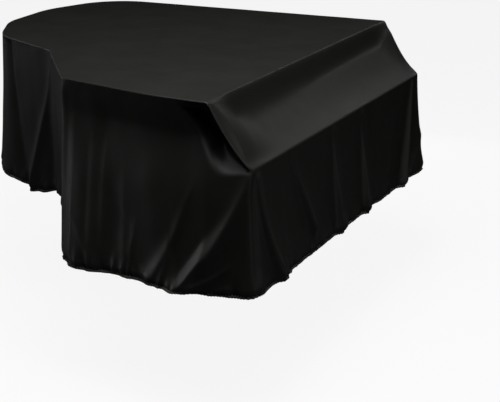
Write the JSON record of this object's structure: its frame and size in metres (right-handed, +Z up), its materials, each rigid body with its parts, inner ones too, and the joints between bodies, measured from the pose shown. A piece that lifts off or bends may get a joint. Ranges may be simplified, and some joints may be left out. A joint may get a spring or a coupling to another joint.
{
  "type": "fitted grand piano cover",
  "caption": "Black fitted cloth cover with a flat lid-shaped top, a sagging front slope and a hanging skirt with a gathered hem, hollow to drop over a baby grand.",
  "frame": {"origin": "on the underside of the top panel, where it rests on the lid, near the middle of the plan", "axes": "+Z up, -Y to the sloped front, +X to the straight side, -X to the curved side"},
  "size_m": [1.6065, 1.5933, 0.6082],
  "materials": {
    "cloth": "soft satin weave"
  },
  "bodies": {
    "root": {"top_panel": "cloth", "slope_panel": "cloth", "front_skirt": "cloth", "curved_side_skirt": "cloth", "tail_skirt": "cloth", "straight_side_skirt": "cloth"}
  },
  "joints": []
}
